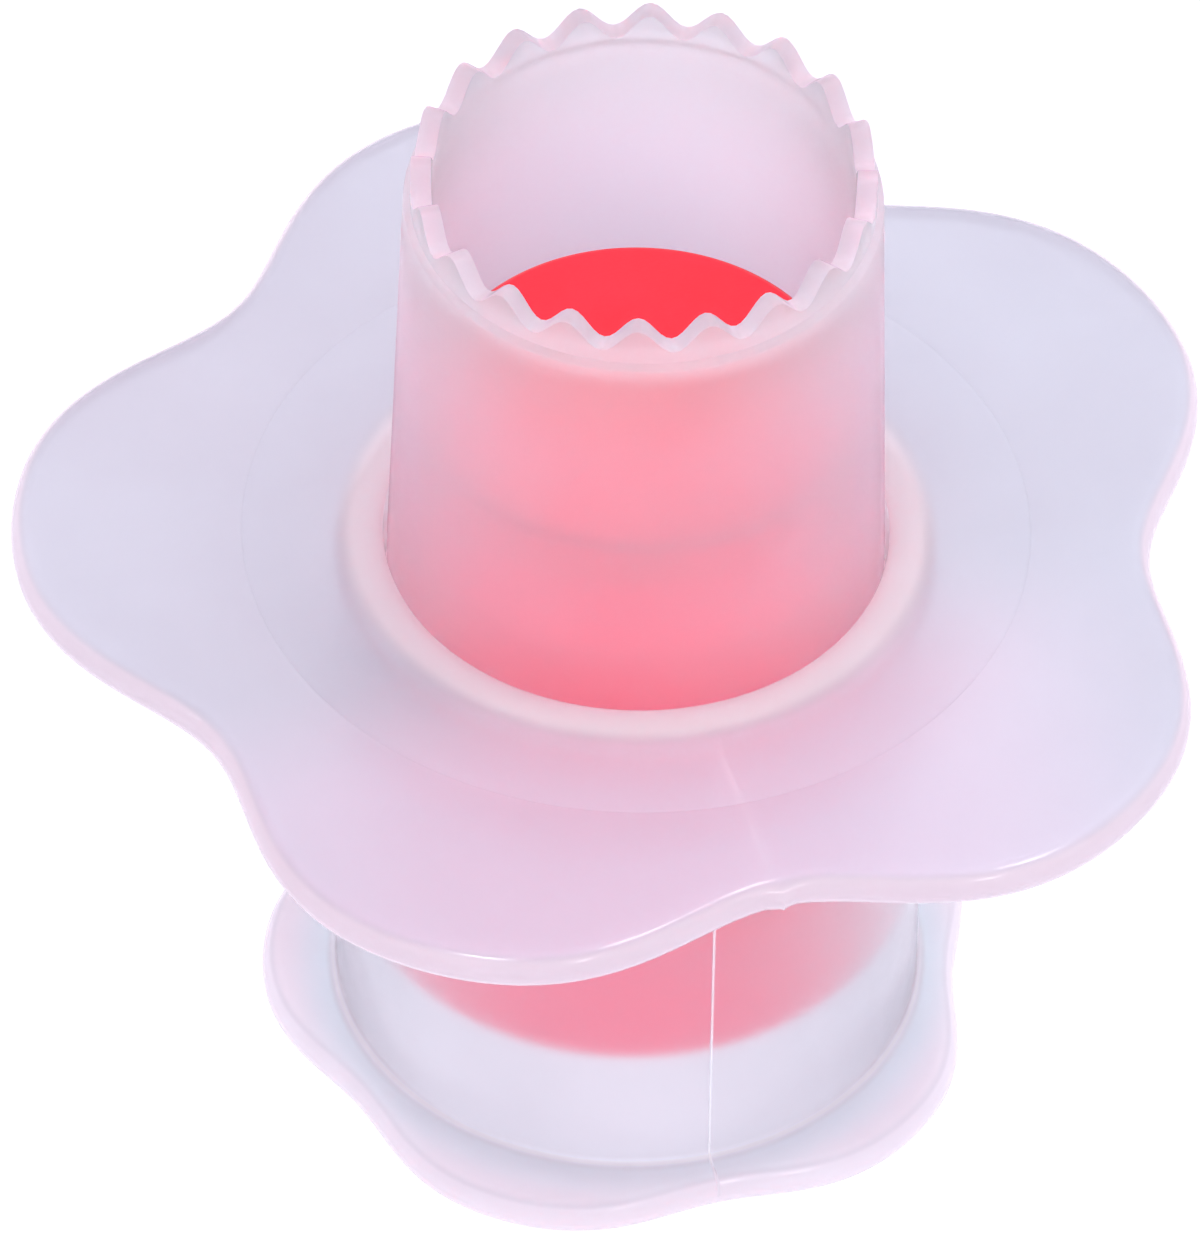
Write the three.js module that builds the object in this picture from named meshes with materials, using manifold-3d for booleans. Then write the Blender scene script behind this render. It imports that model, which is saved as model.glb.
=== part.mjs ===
// Cupcake corer: a toothed tube that cuts a round core, a flower-shaped grip that stops it at full depth,
// and a plunger that pushes the core out again. It stands here on the grip's small flower, teeth up.
// Millimetres, +Z up along the tube, origin on the axis at the underside of the small flower.
import * as THREE from 'three';
import { mergeVertices } from 'three/addons/utils/BufferGeometryUtils.js';
import Module from 'manifold-3d';

// Sizes of the cutter tube
const CORE_RADIUS = 12.55;          // bore at the teeth
const BORE_DRAFT = 0.5;             // degrees, the bore widens towards the foot
const TOOTH_WALL = 1.25;            // wall at the teeth
const RIM_STEP = 0.4;               // small ledge below the toothed band
const FOOT_WALL = 2.0;              // wall where the tube leaves the grip
const FOOT_CHAMFER = 0.2;
const CUT_DEPTH = 30.4;             // height of the tooth tips above the large flower
const TOOTH_COUNT = 20;
const TOOTH_DEPTH = 1.75;           // from tip to valley
const PLAIN_BAND = 0.85;            // from the valleys down to the ledge
const SEAT_DEPTH = 4.5;             // how deep the foot sits in the grip

// Sizes of the flower grip
const PETALS = 5;
const PETAL_BLUNTNESS = 0.145;      // flattens the petals' ends, as a share of the wave
const RIM_FLAT = 0.1;               // straight part left between the two rounds of a flower's rim
const BIG_RADIUS = 34.4;            // mean radius of the large flower
const BIG_WAVE = 3.3;               // petals stand out and valleys draw in by this
const BIG_THICKNESS = 2.5;
const SMALL_RADIUS = 21.0;          // mean radius of the small flower
const SMALL_WAVE = 1.1;
const SMALL_THICKNESS = 2.4;
const HUB_HEIGHT = 34.1;            // finger room between the flowers
const HUB_WALL = 2.45;              // wall round the tube's seat
const HUB_FILLET = 0.7;             // where the hub meets the flowers
const SEAT_LEDGE = 0.6;             // step that reaches in under the tube's foot
const GRIP_DRAFT = 0.5;             // degrees, the thumb bore widens towards its mouth
const MOUTH_CHAMFER = 0.8;

// Sizes of the plunger
const FACE_HEIGHT = 11.7;           // face above the large flower, as it stands
const TAIL_HEIGHT = 9.2;            // tail above the surface the tool stands on
const PLUNGER_WALL = 1.8;
const FACE_THICKNESS = 2.0;
const FACE_BEVEL = 0.5;
const HEAD_HEIGHT = 3.3;            // upper land, which wipes the bore
const WAIST_DEPTH = 0.7;            // relief between the two lands
const WAIST_HEIGHT = 6.0;
const SKIRT_HEIGHT = 8.9;           // wide lower end, guided by the grip's bore
const TAIL_CHAMFER = 0.5;

// Clearances
const SEAT_CLEARANCE = 0.25;        // tube's foot in the grip
const SLIDE_CLEARANCE = 0.3;        // plunger in the tube, at the narrow end
const SKIRT_CLEARANCE = 0.3;        // plunger's skirt in the grip

// Facets
const ROUND_STEPS = 60;
const TOOTH_STEPS = 8;
const BIG_PETAL_STEPS = 20;
const SMALL_PETAL_STEPS = 16;
const RIM_STEPS = 3;
const FILLET_STEPS = 3;

// Heights, from the surface up
const bigUnder = SMALL_THICKNESS + HUB_HEIGHT;
const bigTop = bigUnder + BIG_THICKNESS;
const toothTip = bigTop + CUT_DEPTH;
const valleyZ = toothTip - TOOTH_DEPTH;
const ledgeZ = valleyZ - PLAIN_BAND;
const footZ = bigTop - SEAT_DEPTH;
const seatZ = footZ - SEAT_CLEARANCE;
const faceZ = bigTop + FACE_HEIGHT;
const skirtTop = TAIL_HEIGHT + SKIRT_HEIGHT;

// Radii that fit one another
const degrees = THREE.MathUtils.degToRad;
const boreAt = (z) => CORE_RADIUS + (toothTip - z) * Math.tan(degrees(BORE_DRAFT));
const footRadius = boreAt(bigTop) + FOOT_WALL;
const bandRadius = CORE_RADIUS + TOOTH_WALL;
const seatRadius = footRadius + SEAT_CLEARANCE;
const hubRadius = seatRadius + HUB_WALL;
const thumbBore = footRadius - SEAT_LEDGE;
const thumbMouth = thumbBore + seatZ * Math.tan(degrees(GRIP_DRAFT));
const pistonRadius = CORE_RADIUS - SLIDE_CLEARANCE;
const skirtRadius = thumbBore - SKIRT_CLEARANCE;

const wasm = await Module();
wasm.setup();

// A closed geometry as a solid that can be joined and cut.
function solid(geometry) {
  const bare = geometry.clone();
  bare.deleteAttribute('normal');
  bare.deleteAttribute('uv');
  const merged = mergeVertices(bare, 1e-4);
  return new wasm.Manifold(new wasm.Mesh({
    numProp: 3,
    vertProperties: new Float32Array(merged.attributes.position.array),
    triVerts: new Uint32Array(merged.index.array),
  }));
}

// A solid back as a geometry for a mesh.
function geometryOf(body) {
  const { vertProperties, triVerts } = body.getMesh();
  const geometry = new THREE.BufferGeometry();
  geometry.setAttribute('position', new THREE.BufferAttribute(new Float32Array(vertProperties), 3));
  geometry.setIndex(new THREE.BufferAttribute(new Uint32Array(triVerts), 1));
  geometry.computeVertexNormals();
  return geometry;
}

// A profile of [radius, height] points turned about the vertical axis.
function turned(profile, steps) {
  const points = profile.map(([radius, z]) => new THREE.Vector2(radius, z));
  return new THREE.LatheGeometry(points, steps).rotateX(Math.PI / 2);
}

// Profile points along a fillet about a centre, between two angles in degrees.
function fillet(radius, z, size, from, to) {
  return Array.from({ length: FILLET_STEPS + 1 }, (_, i) => {
    const angle = degrees(THREE.MathUtils.lerp(from, to, i / FILLET_STEPS));
    return [radius + size * Math.cos(angle), z + size * Math.sin(angle)];
  });
}

// A flower plate with a rounded rim; one petal points along +Y.
function flower(radius, wave, thickness, petalSteps) {
  const steps = PETALS * petalSteps;
  const outline = Array.from({ length: steps }, (_, i) => {
    const angle = (2 * Math.PI * i) / steps;
    const turn = PETALS * (angle - Math.PI / 2);
    const reach = radius + wave * (Math.cos(turn) - PETAL_BLUNTNESS * Math.cos(2 * turn));
    return new THREE.Vector2(reach * Math.cos(angle), reach * Math.sin(angle));
  });
  const round = (thickness - RIM_FLAT) / 2;
  return new THREE.ExtrudeGeometry(new THREE.Shape(outline), {
    depth: RIM_FLAT,
    bevelThickness: round,
    bevelSize: round,
    bevelOffset: -round,
    bevelSegments: RIM_STEPS,
    steps: 1,
  }).translate(0, 0, round);
}

// Flower grip: two flowers joined by a hub, bored from both ends down to the ledge that carries the tube.
function flowerGrip() {
  const small = solid(flower(SMALL_RADIUS, SMALL_WAVE, SMALL_THICKNESS, SMALL_PETAL_STEPS));
  const big = solid(flower(BIG_RADIUS, BIG_WAVE, BIG_THICKNESS, BIG_PETAL_STEPS).translate(0, 0, bigUnder));
  const filletCentre = hubRadius + HUB_FILLET;
  const hub = solid(turned([
    [0, SMALL_THICKNESS / 2],
    [filletCentre, SMALL_THICKNESS / 2],
    ...fillet(filletCentre, SMALL_THICKNESS + HUB_FILLET, HUB_FILLET, 270, 180),
    ...fillet(filletCentre, bigUnder - HUB_FILLET, HUB_FILLET, 180, 90),
    [filletCentre, bigUnder + BIG_THICKNESS / 2],
    [0, bigUnder + BIG_THICKNESS / 2],
  ], ROUND_STEPS));
  const bore = solid(turned([
    [0, -MOUTH_CHAMFER],
    [thumbMouth + 2 * MOUTH_CHAMFER, -MOUTH_CHAMFER],
    [thumbMouth, MOUTH_CHAMFER],
    [thumbBore, seatZ],
    [seatRadius, seatZ],
    [seatRadius, bigTop + SEAT_DEPTH],
    [0, bigTop + SEAT_DEPTH],
  ], ROUND_STEPS));
  return geometryOf(small.add(hub).add(big).subtract(bore));
}

// Cutter tube: a tapering sleeve whose rim rises and falls as a row of round teeth.
function cutterTube() {
  const rimZ = (toothTip + valleyZ) / 2;
  const geometry = turned([
    [boreAt(footZ), footZ],
    [footRadius - FOOT_CHAMFER, footZ],
    [footRadius, footZ + FOOT_CHAMFER],
    [footRadius, bigTop],
    [bandRadius + RIM_STEP, ledgeZ - RIM_STEP],
    [bandRadius, ledgeZ],
    [bandRadius, rimZ],
    [boreAt(rimZ), rimZ],
    [boreAt(ledgeZ), ledgeZ],
    [boreAt(footZ), footZ],
  ], TOOTH_COUNT * TOOTH_STEPS);
  const place = geometry.attributes.position;
  for (let i = 0; i < place.count; i += 1) {
    if (place.getZ(i) > valleyZ) {
      const angle = Math.atan2(place.getY(i), place.getX(i));
      place.setZ(i, rimZ + (TOOTH_DEPTH / 2) * Math.cos(TOOTH_COUNT * angle));
    }
  }
  return geometryOf(solid(geometry));
}

// Plunger: a hollow piston with a flat face, two lands that slide in the tube and a wide skirt for the thumb.
function plunger() {
  const headFoot = faceZ - HEAD_HEIGHT;
  const landTop = headFoot - WAIST_HEIGHT;
  const waistRadius = pistonRadius - WAIST_DEPTH;
  const pistonBore = pistonRadius - PLUNGER_WALL;
  const skirtBore = skirtRadius - PLUNGER_WALL;
  const crown = faceZ - FACE_THICKNESS;
  const shoulder = skirtRadius - pistonRadius;
  return turned([
    [0, crown],
    [pistonBore - FACE_BEVEL, crown],
    [pistonBore, crown - FACE_BEVEL],
    [pistonBore, skirtTop],
    [skirtBore, skirtTop - shoulder],
    [skirtBore, TAIL_HEIGHT],
    [skirtRadius - TAIL_CHAMFER, TAIL_HEIGHT],
    [skirtRadius, TAIL_HEIGHT + TAIL_CHAMFER],
    [skirtRadius, skirtTop - TAIL_CHAMFER],
    [skirtRadius - TAIL_CHAMFER, skirtTop],
    [pistonRadius, skirtTop],
    [pistonRadius, landTop],
    [waistRadius, landTop + WAIST_DEPTH],
    [waistRadius, headFoot - WAIST_DEPTH],
    [pistonRadius, headFoot],
    [pistonRadius, faceZ - FACE_BEVEL],
    [pistonRadius - FACE_BEVEL, faceZ],
    [0, faceZ],
  ], ROUND_STEPS);
}

function part(name, geometry, material) {
  const mesh = new THREE.Mesh(geometry, material);
  mesh.name = name;
  return mesh;
}

const clearPlastic = new THREE.MeshStandardMaterial({ color: '#dfdcec', roughness: 0.3, metalness: 0 });
const frostedPlastic = new THREE.MeshStandardMaterial({ color: '#e6d8ea', roughness: 0.55, metalness: 0 });
const redPlastic = new THREE.MeshStandardMaterial({ color: '#f9394c', roughness: 0.4, metalness: 0 });

const corer = new THREE.Group();
corer.add(part('flower_grip', flowerGrip(), clearPlastic));
corer.add(part('cutter_tube', cutterTube(), frostedPlastic));
corer.add(part('plunger', plunger(), redPlastic));

export default corer;
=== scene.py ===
from math import atan2, cos, hypot, pi, radians, sin, tan

import bmesh
import bpy
from mathutils import Matrix, Vector


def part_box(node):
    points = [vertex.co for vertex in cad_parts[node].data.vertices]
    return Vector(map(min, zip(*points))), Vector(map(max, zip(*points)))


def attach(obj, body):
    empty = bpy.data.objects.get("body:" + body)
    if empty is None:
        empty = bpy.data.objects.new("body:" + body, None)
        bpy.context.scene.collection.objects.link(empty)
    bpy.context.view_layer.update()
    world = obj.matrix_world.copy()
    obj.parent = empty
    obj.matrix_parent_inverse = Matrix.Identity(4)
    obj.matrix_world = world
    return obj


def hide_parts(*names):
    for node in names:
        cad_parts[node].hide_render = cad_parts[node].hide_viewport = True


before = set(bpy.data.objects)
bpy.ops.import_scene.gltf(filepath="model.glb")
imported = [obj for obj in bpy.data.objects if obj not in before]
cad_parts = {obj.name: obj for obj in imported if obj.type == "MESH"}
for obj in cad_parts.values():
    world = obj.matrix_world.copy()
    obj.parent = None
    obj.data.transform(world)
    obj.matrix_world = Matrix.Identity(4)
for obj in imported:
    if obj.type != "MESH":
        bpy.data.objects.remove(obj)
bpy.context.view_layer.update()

# Flower grip: the spool that the fingers hold, a large and a small five-petal flower on a hollow hub.
# One moulding of clear, faintly milky polypropylene, made in a mould that splits along the plane of a petal,
# so a thin parting line runs down the hub and out under the large flower to a nub at its rim.
MM = 0.001
PETALS = 5
PETAL_BLUNTNESS = 0.145
BIG_RADIUS = 34.4 * MM
BIG_WAVE = 3.3 * MM
BIG_THICKNESS = 2.5 * MM
SMALL_RADIUS = 21.0 * MM
SMALL_WAVE = 1.1 * MM
SMALL_THICKNESS = 2.4 * MM
RIM_FLAT = 0.1 * MM
RIM_SEGMENTS = 5
HUB_WALL = 2.45 * MM
HUB_FILLET = 0.7 * MM
FILLET_SEGMENTS = 4
SEAT_CLEARANCE = 0.25 * MM
SEAT_LEDGE = 0.6 * MM
GRIP_DRAFT = radians(0.5)
MOUTH_CHAMFER = 0.8 * MM
EDGE_ROUND = 0.12 * MM
EDGE_SEGMENTS = 2
GROOVE_RADIUS = 23.5 * MM
GROOVE_WIDTH = 0.3 * MM
GROOVE_DEPTH = 0.05 * MM
PARTING_WIDTH = 0.1 * MM
PARTING_HEIGHT = 0.08 * MM
PARTING_JAG = 0.05 * MM
PARTING_PITCH = 3.1 * MM
JAG_LEVEL = 0.4
NUB_HEIGHT = 0.4 * MM
NUB_REACH = 0.8 * MM
GRIP_STEPS = 200
HUB_RINGS = 36
SMOOTH_ANGLE = radians(35)
TINY = 0.002 * MM

tube_low, tube_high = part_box("cutter_tube")
foot_radius = tube_high.x
big_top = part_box("flower_grip")[1].z
big_under = big_top - BIG_THICKNESS
seat_z = tube_low.z - SEAT_CLEARANCE
seat_radius = foot_radius + SEAT_CLEARANCE
hub_radius = seat_radius + HUB_WALL
thumb_bore = foot_radius - SEAT_LEDGE
thumb_mouth = thumb_bore + seat_z * tan(GRIP_DRAFT)
small_valley = SMALL_RADIUS - SMALL_WAVE * (1 + PETAL_BLUNTNESS)
big_valley = BIG_RADIUS - BIG_WAVE * (1 + PETAL_BLUNTNESS)
big_tip = BIG_RADIUS + BIG_WAVE * (1 - PETAL_BLUNTNESS)


def reach(point):
    """Distance of a point from the tool's axis."""
    return hypot(point.x, point.y)


def turn_profile(name, profile, steps):
    """A wall made by pulling a ring of edges from one (radius, height) of a profile to the next."""
    bpy.ops.object.select_all(action="DESELECT")
    radius, height = profile[0]
    bpy.ops.mesh.primitive_circle_add(vertices=steps, radius=radius, location=(0, 0, height))
    piece = bpy.context.object
    piece.name = name
    bpy.ops.object.transform_apply(location=True)
    bpy.ops.object.mode_set(mode="EDIT")
    bpy.ops.mesh.select_all(action="SELECT")
    for next_radius, next_height in profile[1:]:
        rise = {"value": (0, 0, next_height - height)}
        bpy.ops.mesh.extrude_region_move(TRANSFORM_OT_translate=rise)
        share = next_radius / radius
        bpy.ops.transform.resize(value=(share, share, 1))
        radius, height = next_radius, next_height
    return piece


def pick_points(test):
    """In edit mode, select the vertices that pass a test, and nothing else."""
    bpy.ops.mesh.select_mode(type="VERT")
    bpy.ops.mesh.select_all(action="DESELECT")
    mesh = bmesh.from_edit_mesh(bpy.context.object.data)
    for vertex in mesh.verts:
        vertex.select = test(vertex.co)
    mesh.select_flush_mode()


def pick_edges(test):
    """In edit mode, select the edges whose two ends pass a test, and nothing else."""
    bpy.ops.mesh.select_mode(type="EDGE")
    bpy.ops.mesh.select_all(action="DESELECT")
    mesh = bmesh.from_edit_mesh(bpy.context.object.data)
    for edge in mesh.edges:
        edge.select = test(edge.verts[0].co, edge.verts[1].co)
    mesh.select_flush_mode()


def ring(radius, height):
    """A test for the edges of one round ring."""
    return lambda a, b: all(abs(reach(p) - radius) < TINY and abs(p.z - height) < TINY for p in (a, b))


def rim(inside, low, high):
    """A test for the level edges beyond a radius and between two heights."""
    return lambda a, b: min(reach(a), reach(b)) > inside and abs(a.z - b.z) < TINY and low < a.z < high


def round_edges(test, size, segments):
    """Bevel the edges that pass a test."""
    pick_edges(test)
    bpy.ops.mesh.bevel(offset_type="OFFSET", offset=size, segments=segments, profile=0.5, affect="EDGES")


def close_wall():
    """Join the wall's last ring to its first and turn its faces outwards."""
    bpy.ops.mesh.select_all(action="SELECT")
    bpy.ops.mesh.remove_doubles(threshold=TINY)
    bpy.ops.mesh.normals_make_consistent(inside=False)


def leave_smooth():
    """Leave edit mode with smooth shading across every edge that isn't sharp."""
    bpy.ops.mesh.select_mode(type="VERT")
    bpy.ops.object.mode_set(mode="OBJECT")
    bpy.ops.object.shade_smooth_by_angle(angle=SMOOTH_ANGLE)


def shape_petals(radius, wave, low, high):
    """Draw the round rim of a plate in and out into petals, one angle at a time; one petal is on +Y."""
    step = 2 * pi / GRIP_STEPS
    for column in range(GRIP_STEPS):
        angle = column * step
        turn = PETALS * (angle - pi / 2)
        share = 1 + wave / radius * (cos(turn) - PETAL_BLUNTNESS * cos(2 * turn))
        spot = Vector((radius * cos(angle), radius * sin(angle)))
        pick_points(lambda p: (p.xy - spot).length < TINY and low - TINY < p.z < high + TINY)
        bpy.ops.transform.resize(value=(share, share, 1), center_override=(0, 0, 0))


def on_parting(p):
    """Points of the mould's parting plane on the outside of the spool, between the two flowers."""
    between = SMALL_THICKNESS / 2 < p.z < big_under + BIG_THICKNESS / 2
    return abs(p.x) < TINY and between and reach(p) > hub_radius - TINY


hub_heights = [SMALL_THICKNESS + (big_under - SMALL_THICKNESS) * i / HUB_RINGS for i in range(HUB_RINGS + 1)]
grip = turn_profile("grip_spool", [
    (thumb_mouth, 0),
    (SMALL_RADIUS, 0),
    (SMALL_RADIUS, SMALL_THICKNESS),
    *[(hub_radius, height) for height in hub_heights],
    (BIG_RADIUS, big_under),
    (BIG_RADIUS, big_top),
    (GROOVE_RADIUS + GROOVE_WIDTH / 2, big_top),
    (GROOVE_RADIUS, big_top - GROOVE_DEPTH),
    (GROOVE_RADIUS - GROOVE_WIDTH / 2, big_top),
    (seat_radius, big_top),
    (seat_radius, seat_z),
    (thumb_bore, seat_z),
    (thumb_mouth, 0),
], GRIP_STEPS)
close_wall()
shape_petals(SMALL_RADIUS, SMALL_WAVE, 0, SMALL_THICKNESS)
shape_petals(BIG_RADIUS, BIG_WAVE, big_under, big_top)
small_rim = rim(small_valley - TINY, -TINY, SMALL_THICKNESS + TINY)
big_rim = rim(big_valley - TINY, big_under - TINY, big_top + TINY)
round_edges(small_rim, (SMALL_THICKNESS - RIM_FLAT) / 2, RIM_SEGMENTS)
round_edges(big_rim, (BIG_THICKNESS - RIM_FLAT) / 2, RIM_SEGMENTS)
for height in (SMALL_THICKNESS, big_under):
    round_edges(ring(hub_radius, height), HUB_FILLET, FILLET_SEGMENTS)
round_edges(ring(thumb_mouth, 0), MOUTH_CHAMFER, EDGE_SEGMENTS)
round_edges(ring(seat_radius, big_top), EDGE_ROUND, EDGE_SEGMENTS)
round_edges(ring(thumb_bore, seat_z), EDGE_ROUND, EDGE_SEGMENTS)
round_edges(lambda a, b: on_parting(a) and on_parting(b), PARTING_WIDTH, EDGE_SEGMENTS)
pick_points(on_parting)
bpy.ops.transform.shrink_fatten(value=PARTING_HEIGHT)
pick_points(lambda p: on_parting(p) and sin(2 * pi * p.z / PARTING_PITCH) > JAG_LEVEL)
bpy.ops.transform.shrink_fatten(value=PARTING_JAG)
for side, edge in ((-1, big_valley), (1, big_tip)):
    pick_points(lambda p: abs(p.x) < TINY and side * p.y > edge - EDGE_ROUND and p.z < big_top)
    bpy.ops.transform.translate(
        value=(0, side * NUB_HEIGHT, 0),
        use_proportional_edit=True,
        proportional_edit_falloff="SMOOTH",
        proportional_size=NUB_REACH,
    )
leave_smooth()


class Signal:
    """A shader socket that can be used in sums, and that makes the other nodes of its tree."""

    def __init__(self, tree, socket=None):
        self.tree = tree
        self.socket = socket

    def node(self, kind, settings=None, inputs=None, output=0):
        made = self.tree.nodes.new(kind)
        for name, value in (settings or {}).items():
            setattr(made, name, value)
        for name, value in (inputs or {}).items():
            if isinstance(value, Signal):
                self.tree.links.new(value.socket, made.inputs[name])
            else:
                made.inputs[name].default_value = value
        return Signal(self.tree, made.outputs[output])

    def math(self, operation, first, second):
        return self.node("ShaderNodeMath", {"operation": operation}, {0: first, 1: second})

    def __add__(self, other):
        return self.math("ADD", self, other)

    def __sub__(self, other):
        return self.math("SUBTRACT", self, other)

    def __mul__(self, other):
        return self.math("MULTIPLY", self, other)

    def __rsub__(self, other):
        return self.math("SUBTRACT", other, self)

    def __gt__(self, other):
        return self.math("GREATER_THAN", self, other)

    __radd__ = __add__
    __rmul__ = __mul__

    def between(self, low, high):
        """0 below one value, 1 above another, and a soft step from one to the other."""
        settings = {"interpolation_type": "SMOOTHSTEP"}
        return self.node("ShaderNodeMapRange", settings, {"Value": self, "From Min": low, "From Max": high})

    def tint(self, zero, one):
        """A colour that runs from one tint to another as this value goes from 0 to 1."""
        settings = {"data_type": "RGBA"}
        return self.node("ShaderNodeMix", settings, {"Factor": self, "A": zero, "B": one}, output="Result")


def grain(start, size, detail=2.0, stretch=(1, 1, 1)):
    """Noise with grains of about a size in metres, drawn out along the axes by a stretch."""
    place = start.node("ShaderNodeTexCoord", output="Object")
    scale = [1 / (size * share) for share in stretch]
    place = start.node("ShaderNodeMapping", None, {"Vector": place, "Scale": scale})
    return start.node("ShaderNodeTexNoise", None, {"Vector": place, "Scale": 1.0, "Detail": detail})


def along(start, axis, coordinates="Object"):
    """One coordinate of a shaded point, in metres, or of its normal."""
    place = start.node("ShaderNodeTexCoord", output=coordinates)
    return start.node("ShaderNodeSeparateXYZ", None, {0: place}, output=axis)


def axis_reach(start):
    """Distance of a shaded point from the tool's axis."""
    place = start.node("ShaderNodeTexCoord", output="Object")
    level = start.node("ShaderNodeVectorMath", {"operation": "MULTIPLY"}, {0: place, 1: (1, 1, 0)})
    return start.node("ShaderNodeVectorMath", {"operation": "LENGTH"}, {0: level}, output="Value")


def plastic(name):
    """A new material with its shader and a signal that makes its nodes."""
    material = bpy.data.materials.new(name)
    material.use_nodes = True
    return material, material.node_tree.nodes["Principled BSDF"], Signal(material.node_tree)


def feed(shader, **sockets):
    """Link signals to a shader's sockets, and set plain values on the others."""
    for name, value in sockets.items():
        socket = shader.inputs[name.replace("_", " ")]
        if isinstance(value, Signal):
            value.tree.links.new(value.socket, socket)
        else:
            socket.default_value = value


def bumped(start, height, distance):
    """A normal from a height signal, whose full range stands for a real distance."""
    return start.node("ShaderNodeBump", None, {"Height": height, "Distance": distance})


def milky(start, shader, amount, **sockets):
    """Mix a scattering milk into a clear plastic, by an amount that may vary over the surface."""
    milk = start.tree.nodes.new("ShaderNodeBsdfPrincipled")
    feed(milk, Subsurface_Weight=1.0, Subsurface_Radius=(1, 1, 1), Subsurface_Scale=MILK_DEPTH, **sockets)
    layers = {0: amount, 1: Signal(start.tree, shader.outputs[0]), 2: Signal(start.tree, milk.outputs[0])}
    mixed = start.node("ShaderNodeMixShader", None, layers)
    start.tree.links.new(mixed.socket, start.tree.nodes["Material Output"].inputs["Surface"])


# Tints of the clear plastic and of the milk in it, and painted glows: emission that paints light into the
# plastic's walls to lift its shade and to draw bright lines
CLEAR_TOP = (0.98, 0.98, 0.98, 1)
CLEAR_UNDER = (0.71, 0.72, 0.74, 1)
CLEAR_SMALL = (0.90, 0.90, 0.90, 1)
CLEAR_HUB = (0.79, 0.84, 0.85, 1)
# The hub's milk is dark, and the glow below lifts it as painted light
MILK_HUB = (0.30, 0.35, 0.38, 1)
MILK_COOL = (0.51, 0.55, 0.59, 1)
MILK_WARM = (0.51, 0.51, 0.55, 1)
MILK_RIM = (0.67, 0.605, 0.625, 1)
MILK_SMALL = (0.68, 0.76, 0.80, 1)
MILK_SMALL_RIM = (0.85, 0.83, 0.85, 1)
MILK_CROWN = (0.69, 0.73, 0.71, 1)
# Painted light: the flats, crown, hub, bore, small flower and rims glow to lift their shade, the seat, seam
# and fillet glow as painted highlight lines, and the two red glows stand for the plunger seen through the
# large flower
FLAT_GLOW = (0.03, 0.03, 0.045, 1)
CROWN_GLOW = (0.10, 0.03, 0.05, 1)
HUB_GLOW = (0.07, 0.055, 0.065, 1)
BORE_GLOW = (0.0, 0.03, 0.045, 1)
SEAT_GLOW = (0.13, 0.10, 0.11, 1)
SMALL_GLOW = (0.06, 0.075, 0.075, 1)
RIM_GLOW = (0.045, 0.02, 0.03, 1)
NEAR_PAINTED_RED_GLOW = (0.22, 0.03, 0.07, 1)
FAR_PAINTED_RED_GLOW = (0.20, 0.10, 0.155, 1)
SEAM_GLOW = (0.42, 0.38, 0.41, 1)
FILLET_GLOW = (0.20, 0.21, 0.24, 1)

# How milky the plastic is, from 0 to 1, all over and then more in each place
MILKINESS = 0.05
CLOUD_MILKINESS = 0.04
HUB_MILKINESS = 0.11
FLAT_MILKINESS = 0.42
RIM_MILKINESS = 0.6
CROWN_MILKINESS = 0.55
SEAM_MILKINESS = 0.3
MILK_DEPTH = 3 * MM
CLOUD_TONE_SHARE = 0.3

# Finish of the moulded skin
PLASTIC_IOR = 1.45
LEVEL_STEP = (0.5, 0.97)
CLOUD_STEP = (0.35, 0.65)
CLOUD_SIZE = 14 * MM
FLOW_SIZE = 2.5 * MM
FLOW_DEPTH = 0.01 * MM
SATIN_SIZE = 0.35 * MM
CLEAR_ROUGHNESS = 0.32
FLOW_ROUGHNESS = 0.08
SATIN_ROUGHNESS = 0.08
GLOSS = 0.4
FLOW_GLOSS = 0.3
RIM_GLOSS = 0.3
GLOSS_ROUGHNESS = 0.1

# Where a painted red glow on the front of the large flower stands for the plunger's red seen through it
PAINTED_RED_MIDDLE = -5 * MM
PAINTED_RED_CORE = 5 * MM
PAINTED_RED_REACH = 34 * MM
PAINTED_RED_START = 6 * MM
PAINTED_RED_FULL = 18 * MM
PAINTED_RED_FADE = 27.5 * MM

clear, shader, start = plastic("clear_milky_plastic")
clouds = grain(start, CLOUD_SIZE).between(*CLOUD_STEP)
flow = grain(start, FLOW_SIZE)
satin = grain(start, SATIN_SIZE)
sideways = along(start, "X")
forward = 0 - along(start, "Y")
height = along(start, "Z")
upward = along(start, "Z", "Normal")
away = axis_reach(start)

level = (upward * upward).between(*LEVEL_STEP)
low = 1 - (height > SMALL_THICKNESS + HUB_FILLET)
outside = away.between(hub_radius - HUB_FILLET, hub_radius + HUB_FILLET)
outer = away.between(seat_radius + HUB_FILLET, hub_radius - HUB_FILLET)
past_fillet = away.between(hub_radius + HUB_FILLET, hub_radius + 2 * HUB_FILLET)
flats = level * outside
crown = level * (1 - outside)
rims = (1 - level) * past_fillet
hub = (1 - level) * (1 - past_fillet)
# Masks for the fillet at the small flower and for the parting line, which glow below as painted highlight
# lines
fillet = low * (1 - level) * away.between(hub_radius, hub_radius + EDGE_ROUND) * (1 - past_fillet)
seam = 1 - (sideways * sideways).between(0, PARTING_WIDTH ** 2)
seam = seam * (away > hub_radius - EDGE_ROUND) * (1 - (away > big_valley - BIG_THICKNESS))
seam = seam * (height > SMALL_THICKNESS + EDGE_ROUND) * (1 - (height > big_top - EDGE_ROUND))

# Painted shade: the flats' milk turns warmer and darker in green and blue towards -X, and the clouds add a
# random tone
cloud_tone_and_side_shade = clouds * CLOUD_TONE_SHARE + (1 - sideways.between(-SMALL_RADIUS, SMALL_RADIUS)) * (1 - CLOUD_TONE_SHARE)
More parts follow.
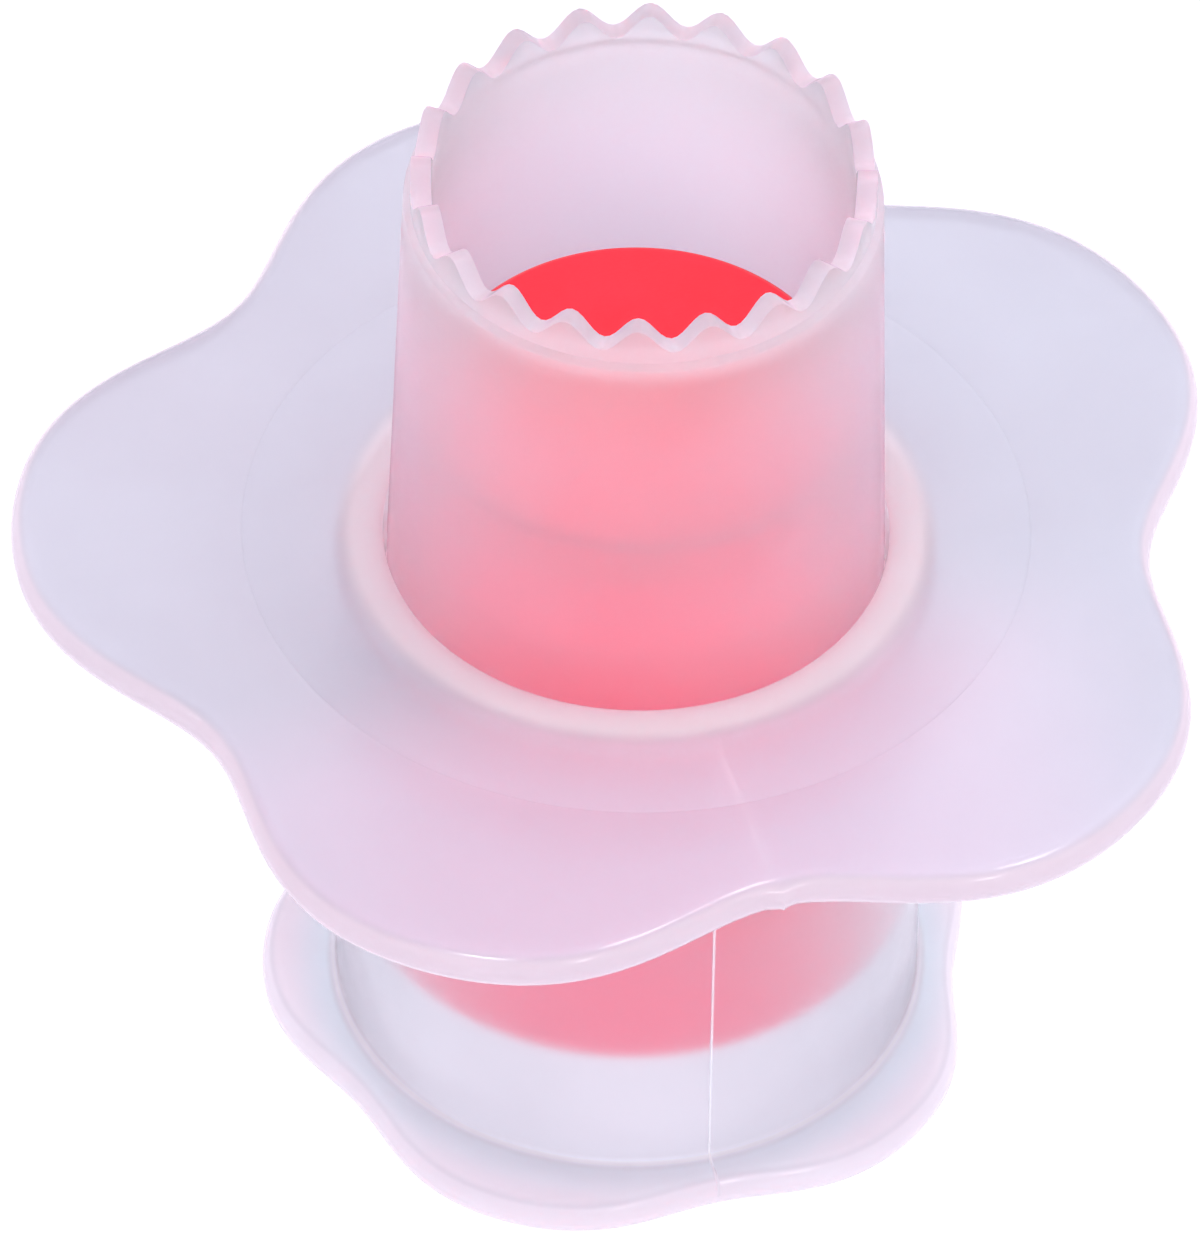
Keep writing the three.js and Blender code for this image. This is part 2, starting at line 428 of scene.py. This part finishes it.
# Painted light: the small flower's milk is lighter than the large flower's, lifting the shade that the large
# flower casts on it
small_milk = away.between(hub_radius + HUB_FILLET, SMALL_RADIUS).tint(MILK_SMALL, MILK_SMALL_RIM)
flat_milk = low.tint(cloud_tone_and_side_shade.tint(MILK_COOL, MILK_WARM), small_milk)
rim_milk = low.tint(MILK_RIM, MILK_SMALL_RIM)
grip_milk = crown.tint(rims.tint(flats.tint(MILK_HUB, flat_milk), rim_milk), MILK_CROWN)
# Painted shade: the flowers' undersides pass less light than their tops, the large flower's least, standing
# for shaded table seen through them
flat_clear = (upward > 0).tint(low.tint(CLEAR_UNDER, CLEAR_SMALL), CLEAR_TOP)

# Painted light: only the front of the large flower, towards -Y, glows pink, fading to the sides and away
# from the hub
from_middle = sideways - PAINTED_RED_MIDDLE
painted_red_glow = (height > big_top - BIG_THICKNESS / 2) * forward.between(PAINTED_RED_START, PAINTED_RED_FULL)
painted_red_glow = painted_red_glow * (1 - (from_middle * from_middle).between(PAINTED_RED_CORE ** 2, PAINTED_RED_REACH ** 2))
painted_red_glow_tint = away.between(hub_radius, PAINTED_RED_FADE).tint(NEAR_PAINTED_RED_GLOW, FAR_PAINTED_RED_GLOW)
# Painted light: the small flower glows more near the hub, where shade gathers
small_glow = away.between(hub_radius, SMALL_RADIUS).tint(SMALL_GLOW, RIM_GLOW)
flat_glow = low.tint(painted_red_glow.tint(FLAT_GLOW, painted_red_glow_tint), small_glow)
# Painted light: the hub's outside glows evenly to lift the shade on its sides, the thumb bore glows faintly,
# and the tube's seat glows as a painted light line
hub_glow = outer.tint((height > seat_z + EDGE_ROUND).tint(BORE_GLOW, SEAT_GLOW), HUB_GLOW)
# Painted light: the crown over the hub glows pink and the rims glow faintly pink
body_glow = hub.tint(crown.tint(rims.tint(flat_glow, RIM_GLOW), CROWN_GLOW), hub_glow)

milkiness = MILKINESS + clouds * CLOUD_MILKINESS + hub * outer * HUB_MILKINESS + flats * FLAT_MILKINESS
milkiness = milkiness + rims * RIM_MILKINESS + crown * CROWN_MILKINESS + seam * SEAM_MILKINESS
skin_and_painted_glow = {
    "Roughness": CLEAR_ROUGHNESS + flow * FLOW_ROUGHNESS + satin * SATIN_ROUGHNESS,
    "Normal": bumped(start, flow, FLOW_DEPTH),
    "IOR": PLASTIC_IOR,
    "Coat_Weight": GLOSS + flow * FLOW_GLOSS + rims * RIM_GLOSS,
    "Coat_Roughness": GLOSS_ROUGHNESS,
    # Painted light: every part glows by its mask, and the parting line and fillet glow as painted highlight
    # lines
    "Emission_Color": seam.tint(fillet.tint(body_glow, FILLET_GLOW), SEAM_GLOW),
    "Emission_Strength": 1.0,
}
feed(shader, Base_Color=flats.tint(CLEAR_HUB, flat_clear), Transmission_Weight=1.0, **skin_and_painted_glow)
milky(start, shader, milkiness, Base_Color=grip_milk, **skin_and_painted_glow)
grip.data.materials.append(clear)
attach(grip, "grip")
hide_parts("flower_grip")

# Cutter tube: a tapering sleeve with a ring of round teeth, pressed into the large flower from above.
# Moulded in one piece from the same polypropylene with a frosted surface, and drawn off its core lengthwise,
# which leaves fine level lines; a small ledge runs round it under the teeth.
CORE_RADIUS = 12.55 * MM
BORE_DRAFT = radians(0.5)
TOOTH_WALL = 1.25 * MM
TOOTH_COUNT = 20
TOOTH_DEPTH = 1.75 * MM
PLAIN_BAND = 0.85 * MM
RIM_STEP = 0.4 * MM
FOOT_CHAMFER = 0.2 * MM
TOOTH_ROUND = 0.1 * MM
TOOTH_STEPS = 12
tooth_tip = tube_high.z
valley_z = tooth_tip - TOOTH_DEPTH
rim_z = (tooth_tip + valley_z) / 2
ledge_z = valley_z - PLAIN_BAND
band_radius = CORE_RADIUS + TOOTH_WALL
tooth_turn = 2 * pi / TOOTH_COUNT


def bore_at(height):
    """Radius of the tube's drafted bore at a height."""
    return CORE_RADIUS + (tooth_tip - height) * tan(BORE_DRAFT)


def tooth_points(share):
    """A test for the rim's points at one share of the way from a tooth's tip to the next."""
    def test(p):
        turn = (atan2(p.y, p.x) / tooth_turn - share + 0.5) % 1 - 0.5
        return abs(p.z - rim_z) < TINY and abs(turn) < 0.5 / TOOTH_STEPS
    return test


def tooth_edges(radius):
    """A test for the edges that run along the teeth on one side of the wall."""
    return lambda a, b: all(abs(reach(p) - radius) < TINY and p.z > valley_z - TINY for p in (a, b))


tube = turn_profile("toothed_tube", [
    (bore_at(tube_low.z), tube_low.z),
    (foot_radius, tube_low.z),
    (foot_radius, big_top),
    (band_radius + RIM_STEP, ledge_z - RIM_STEP),
    (band_radius, ledge_z),
    (band_radius, rim_z),
    (bore_at(rim_z), rim_z),
    (bore_at(ledge_z), ledge_z),
    (bore_at(tube_low.z), tube_low.z),
], TOOTH_COUNT * TOOTH_STEPS)
close_wall()
for step in range(TOOTH_STEPS):
    share = step / TOOTH_STEPS
    pick_points(tooth_points(share))
    bpy.ops.transform.translate(value=(0, 0, TOOTH_DEPTH / 2 * cos(2 * pi * share)))
for radius in (band_radius, bore_at(rim_z)):
    round_edges(tooth_edges(radius), TOOTH_ROUND, EDGE_SEGMENTS)
round_edges(ring(foot_radius, tube_low.z), FOOT_CHAMFER, 1)
round_edges(ring(band_radius + RIM_STEP, ledge_z - RIM_STEP), TOOTH_ROUND, EDGE_SEGMENTS)
leave_smooth()

FROST_CLEAR = (0.96, 0.97, 0.98, 1)
FROST_TOP = (0.88, 0.92, 0.93, 1)
FROST_BORE = (0.80, 0.84, 0.86, 1)
FROST_COOL = (0.86, 0.86, 0.89, 1)
FROST_WARM = (0.88, 0.86, 0.88, 1)
# Painted glows: the tube's walls emit light from within to lift their shade, pinker near the foot, and the
# teeth's up-facing faces glow brightest
FROST_GLOW = (0.055, 0.04, 0.06, 1)
FROST_TOP_GLOW = (0.02, 0.02, 0.02, 1)
FROST_RIM_GLOW = (0.14, 0.09, 0.12, 1)
FROST_FOOT_GLOW = (0.07, 0.03, 0.045, 1)
FROST_MILKINESS = 0.02
FROST_CLOUD_MILKINESS = 0.02
LINE_MILKINESS = 0.04
OUTER_MILKINESS = 0.03
CREST_MILKINESS = 0.22
FROST_CLOUD_SIZE = 9 * MM
FROST_SATIN_SIZE = 0.3 * MM
LINE_SIZE = 0.25 * MM
LINE_STRETCH = (24, 24, 1)
LINE_SHARE = 0.7
FROST_DEPTH = 0.004 * MM
FROST_ROUGHNESS = 0.42
LINE_ROUGHNESS = 0.08
FROST_SATIN_ROUGHNESS = 0.05
SKIN_START = 0.4 * TOOTH_WALL
CUT_STEP = (0.3, 0.6)
TOOTH_CLEARNESS = 0.5
TOP_FADE = 10 * MM
CREST_FADE = 2 * MM
FOOT_FADE = 4 * MM
frost, shader, start = plastic("frosted_plastic")
clouds = grain(start, FROST_CLOUD_SIZE).between(*CLOUD_STEP)
lines = grain(start, LINE_SIZE, detail=3.0, stretch=LINE_STRETCH)
satin = grain(start, FROST_SATIN_SIZE)
height = along(start, "Z")
upper = height.between(ledge_z - TOP_FADE, ledge_z)
crest = height.between(ledge_z - CREST_FADE, ledge_z)
crest = crest * (1 - TOOTH_CLEARNESS * height.between(valley_z, rim_z))
foot = 1 - height.between(big_top, big_top + FOOT_FADE)
cut = along(start, "Z", "Normal").between(*CUT_STEP) * (height > valley_z)
outer = axis_reach(start).between(CORE_RADIUS + SKIN_START, band_radius - TOOTH_ROUND)
# Painted light: the wall glows, pinker near its foot and less at the teeth, and the teeth's up-facing cut
# faces glow brightest
wall_glow = upper.tint(foot.tint(FROST_GLOW, FROST_FOOT_GLOW), FROST_TOP_GLOW)
milkiness = FROST_MILKINESS + clouds * FROST_CLOUD_MILKINESS + lines * LINE_MILKINESS
milkiness = milkiness + outer * (1 - foot) * OUTER_MILKINESS + crest * CREST_MILKINESS
skin_and_painted_glow = {
    "Roughness": FROST_ROUGHNESS + lines * LINE_ROUGHNESS + satin * FROST_SATIN_ROUGHNESS,
    "Normal": bumped(start, lines * LINE_SHARE + satin * (1 - LINE_SHARE), FROST_DEPTH),
    "IOR": PLASTIC_IOR,
    "Emission_Color": cut.tint(wall_glow, FROST_RIM_GLOW),
    "Emission_Strength": 1.0,
}
# Painted shade: the bore, and more faintly the outside near and above the ledge, pass less light, darkening
# what is seen through the tube
frost_clear = outer.tint(FROST_BORE, upper.tint(FROST_CLEAR, FROST_TOP))
feed(shader, Base_Color=frost_clear, Transmission_Weight=1.0, **skin_and_painted_glow)
milky(start, shader, milkiness, Base_Color=clouds.tint(FROST_COOL, FROST_WARM), **skin_and_painted_glow)
tube.data.materials.append(frost)
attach(tube, "grip")
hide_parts("cutter_tube")

# Plunger: a hollow red piston, opaque polypropylene, with a flat face that drives the core out of the tube.
# Two lands slide in the tube with a waist between them, and a wide skirt slides in the grip's thumb bore.
# It is moulded in one piece, open at the tail for the thumb, and is held only by the light rub of its lands.
PLUNGER_WALL = 1.8 * MM
FACE_THICKNESS = 2.0 * MM
FACE_BEVEL = 0.5 * MM
HEAD_HEIGHT = 3.3 * MM
WAIST_DEPTH = 0.7 * MM
WAIST_HEIGHT = 6.0 * MM
SKIRT_HEIGHT = 8.9 * MM
TAIL_CHAMFER = 0.5 * MM
SLIDE_CLEARANCE = 0.3 * MM
PLUNGER_STEPS = 160
PLUNGER_SEGMENTS = 3
plunger_low, plunger_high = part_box("plunger")
face_z = plunger_high.z
tail_z = plunger_low.z
skirt_radius = plunger_high.x
piston_radius = CORE_RADIUS - SLIDE_CLEARANCE
waist_radius = piston_radius - WAIST_DEPTH
piston_bore = piston_radius - PLUNGER_WALL
skirt_bore = skirt_radius - PLUNGER_WALL
skirt_top = tail_z + SKIRT_HEIGHT
head_foot = face_z - HEAD_HEIGHT
land_top = head_foot - WAIST_HEIGHT
crown_z = face_z - FACE_THICKNESS
plunger = turn_profile("red_plunger", [
    (piston_bore, crown_z),
    (piston_bore, skirt_top),
    (skirt_bore, skirt_top - (skirt_radius - piston_radius)),
    (skirt_bore, tail_z),
    (skirt_radius, tail_z),
    (skirt_radius, skirt_top),
    (piston_radius, skirt_top),
    (piston_radius, land_top),
    (waist_radius, land_top + WAIST_DEPTH),
    (waist_radius, head_foot - WAIST_DEPTH),
    (piston_radius, head_foot),
    (piston_radius, face_z),
], PLUNGER_STEPS)
bpy.ops.mesh.edge_face_add()
pick_edges(ring(piston_bore, crown_z))
bpy.ops.mesh.edge_face_add()
close_wall()
for radius, height in ((piston_radius, face_z), (piston_bore, crown_z)):
    round_edges(ring(radius, height), FACE_BEVEL, PLUNGER_SEGMENTS)
for height in (tail_z, skirt_top):
    round_edges(ring(skirt_radius, height), TAIL_CHAMFER, PLUNGER_SEGMENTS)
leave_smooth()

RED_DEEP = (0.66, 0.005, 0.016, 1)
RED_LIGHT = (0.72, 0.008, 0.022, 1)
RED_WAIST = (0.78, 0.026, 0.048, 1)
RED_EDGE_SHADE = (0.40, 0.012, 0.022, 1)
# Painted light: the whole plunger glows in its own red, and its skirt and lower outside glow bright red so
# that they show through the hub
RED_SKIRT_GLOW = (1.8, 0.005, 0.2, 1)
RED_GLOW = 0.5
RED_CLOUD_STEP = (0.3, 0.7)
RED_CLOUD_SHARE = 0.5
RED_CLOUD_SIZE = 7 * MM
RED_SATIN_SIZE = 0.3 * MM
RED_DEPTH = 0.02 * MM
RED_ROUGHNESS = 0.34
RED_CLOUD_ROUGHNESS = 0.1
RED_SATIN_ROUGHNESS = 0.08
red, shader, start = plastic("red_plastic")
clouds = grain(start, RED_CLOUD_SIZE)
satin = grain(start, RED_SATIN_SIZE)
height = along(start, "Z")
away = axis_reach(start)
under_head = 1 - height.between(head_foot - WAIST_DEPTH, head_foot)
waist = height.between(land_top, land_top + WAIST_DEPTH) * under_head
# Painted shade: the face's rounded edge is darker red
edge = away.between(piston_radius - FACE_BEVEL, piston_radius) * (height > face_z - FACE_BEVEL)
above = height > skirt_top
outer = (1 - above) * away.between(skirt_bore, skirt_radius - TAIL_CHAMFER)
outer = outer + above * away.between(piston_bore, waist_radius)
lower = outer * (1 - height.between(skirt_top, face_z))
body = waist.tint(clouds.between(*RED_CLOUD_STEP).tint(RED_DEEP, RED_LIGHT), RED_WAIST)
body = edge.tint(body, RED_EDGE_SHADE)
feed(
    shader,
    Base_Color=body,
    Roughness=RED_ROUGHNESS + clouds * RED_CLOUD_ROUGHNESS + satin * RED_SATIN_ROUGHNESS,
    Normal=bumped(start, clouds * RED_CLOUD_SHARE + satin * (1 - RED_CLOUD_SHARE), RED_DEPTH),
    # Painted light: the red glows in its own colour, brightest low on the outside
    Emission_Color=lower.tint(body, RED_SKIRT_GLOW),
    Emission_Strength=RED_GLOW,
)
plunger.data.materials.append(red)
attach(plunger, "plunger")
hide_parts("plunger")

# Table and light: a plain white table top in a wide white room, with three soft lamps for the highlights.
# None of it belongs to the tool.
FLOOR_SIZE = 6
FLOOR_GAP = 0.05 * MM
ROOM_TINT = (1, 0.94, 1.09, 1)
ROOM_STRENGTH = 1.08
TABLE_GLOW = 0.95
TABLE_DARK = (0.18, 0.18, 0.18, 1)
TABLE_LIGHT = (0.2, 0.2, 0.2, 1)
TABLE_ROUGHNESS = 0.8
FIBRE_ROUGHNESS = 0.1
FIBRE_SIZE = 0.8 * MM
LAMP_SIZE = 0.2
LAMP_POWER = 1.7
LOW_LAMP_SIZE = 0.1
LOW_LAMP_POWER = 0.45
bpy.ops.object.select_all(action="DESELECT")
bpy.ops.mesh.primitive_plane_add(size=FLOOR_SIZE, location=(0, 0, -FLOOR_GAP))
floor = bpy.context.object
floor.name = "table_top"
paper, shader, start = plastic("white_table")
fibre = grain(start, FIBRE_SIZE)
feed(
    shader,
    Base_Color=fibre.tint(TABLE_DARK, TABLE_LIGHT),
    Roughness=TABLE_ROUGHNESS + fibre * FIBRE_ROUGHNESS,
    Emission_Color=ROOM_TINT,
    Emission_Strength=TABLE_GLOW,
)
floor.data.materials.append(paper)

scene = bpy.context.scene
scene.view_settings.view_transform = "Standard"
room = bpy.data.worlds.new("white_room")
room.use_nodes = True
feed(room.node_tree.nodes["Background"], Color=ROOM_TINT, Strength=ROOM_STRENGTH)
scene.world = room
lamps = [
    ("front_lamp", (-0.25, -0.3, 1.0), LAMP_SIZE, LAMP_POWER),
    ("side_lamp", (0.35, -0.12, 1.0), LAMP_SIZE, LAMP_POWER),
    ("low_lamp", (0.15, -0.8, 0.6), LOW_LAMP_SIZE, LOW_LAMP_POWER),
]
for name, spot, size, power in lamps:
    glow = bpy.data.lights.new(name, "AREA")
    glow.size = size
    glow.energy = power
    lamp = bpy.data.objects.new(name, glow)
    lamp.location = spot
    lamp.rotation_euler = Vector(spot).to_track_quat("Z", "Y").to_euler()
    scene.collection.objects.link(lamp)
scene.cycles.max_bounces = 40
scene.cycles.diffuse_bounces = 16
scene.cycles.glossy_bounces = 24
scene.cycles.transmission_bounces = 40

# Camera: the photograph's view from above, about 46 degrees down and a little to the left of a petal valley.
# It stands far off with a long lens, since the photo shows almost no perspective.
# The picture is 1200 by 1233 points, so the lens is set by its width.
IMAGE_WIDTH = 1200
FOCAL_POINTS = 33600
SENSOR_WIDTH = 36
CAMERA_TURN = radians(-17.26)
CAMERA_ELEVATION = radians(45.64)
CAMERA_ROLL = radians(1.25)
CAMERA_PLACE = Vector((-2.15, -5.26, 2000)) * MM
lens = bpy.data.cameras.new("photo_camera")
lens.sensor_fit = "HORIZONTAL"
lens.sensor_width = SENSOR_WIDTH
lens.lens = SENSOR_WIDTH * FOCAL_POINTS / IMAGE_WIDTH
camera = bpy.data.objects.new("photo_camera", lens)
scene.collection.objects.link(camera)
camera.matrix_world = (
    Matrix.Translation((0, 0, big_top))
    @ Matrix.Rotation(CAMERA_TURN, 4, "Z")
    @ Matrix.Rotation(pi / 2 - CAMERA_ELEVATION, 4, "X")
    @ Matrix.Rotation(CAMERA_ROLL, 4, "Z")
    @ Matrix.Translation(CAMERA_PLACE)
)
scene.camera = camera
